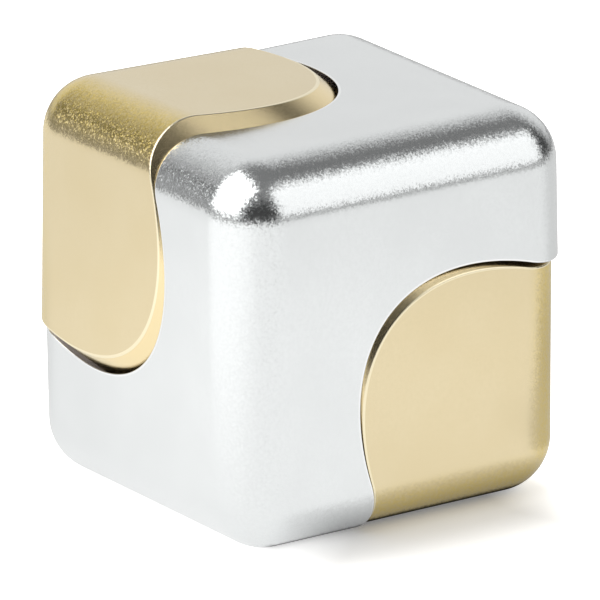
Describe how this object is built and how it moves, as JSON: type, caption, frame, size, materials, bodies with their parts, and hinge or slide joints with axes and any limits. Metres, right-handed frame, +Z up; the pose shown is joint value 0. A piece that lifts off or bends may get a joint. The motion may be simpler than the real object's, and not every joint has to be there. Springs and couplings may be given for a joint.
{
  "type": "cube spinner",
  "caption": "Rounded metal cube that spins on a hidden bearing about its body diagonal, between two corner caps held in finger and thumb.",
  "frame": {"origin": "centre of the cube, on the spin axis", "axes": "+Z up and square to the cube's top face; +X and +Y square to its sides; the spin axis is the body diagonal from +X -Y -Z to -X +Y +Z"},
  "size_m": [0.0267, 0.026, 0.0269],
  "materials": {
    "silver_body": "fine bead-blasted and clear anodised",
    "gold_cap": "fine bead-blasted and pale gold anodised",
    "bearing_steel": "ground bearing steel",
    "plain_steel": "turned steel",
    "spring_steel": "phosphated spring steel",
    "cage_nylon": "natural nylon"
  },
  "bodies": {
    "housing": {"outer_body": "silver_body", "bearing_outer_ring": "bearing_steel", "bearing_shield_a": "bearing_steel", "bearing_shield_b": "bearing_steel", "bearing_retaining_ring": "spring_steel"},
    "core": {"corner_cap_a": "gold_cap", "corner_cap_b": "gold_cap", "centre_stud": "plain_steel", "spacer_a": "plain_steel", "spacer_b": "plain_steel", "bearing_inner_ring": "bearing_steel"},
    "ball_train": {"bearing_ball_01": "bearing_steel", "bearing_ball_02": "bearing_steel", "bearing_ball_03": "bearing_steel", "bearing_ball_04": "bearing_steel", "bearing_ball_05": "bearing_steel", "bearing_ball_06": "bearing_steel", "bearing_ball_07": "bearing_steel", "bearing_ball_08": "bearing_steel", "bearing_ball_09": "bearing_steel", "bearing_ball_10": "bearing_steel", "bearing_cage": "cage_nylon"}
  },
  "joints": [
    {"name": "core_spin", "type": "hinge", "parent": "housing", "child": "core", "pos_m": [0, 0, 0], "axis": [-0.5774, 0.5774, 0.5774], "continuous": true},
    {"name": "ball_train_spin", "type": "hinge", "parent": "housing", "child": "ball_train", "pos_m": [0, 0, 0], "axis": [-0.5774, 0.5774, 0.5774], "continuous": true}
  ],
  "couplings": [
    {"joint": "ball_train_spin", "follows": "core_spin", "ratio": 0.41664}
  ]
}
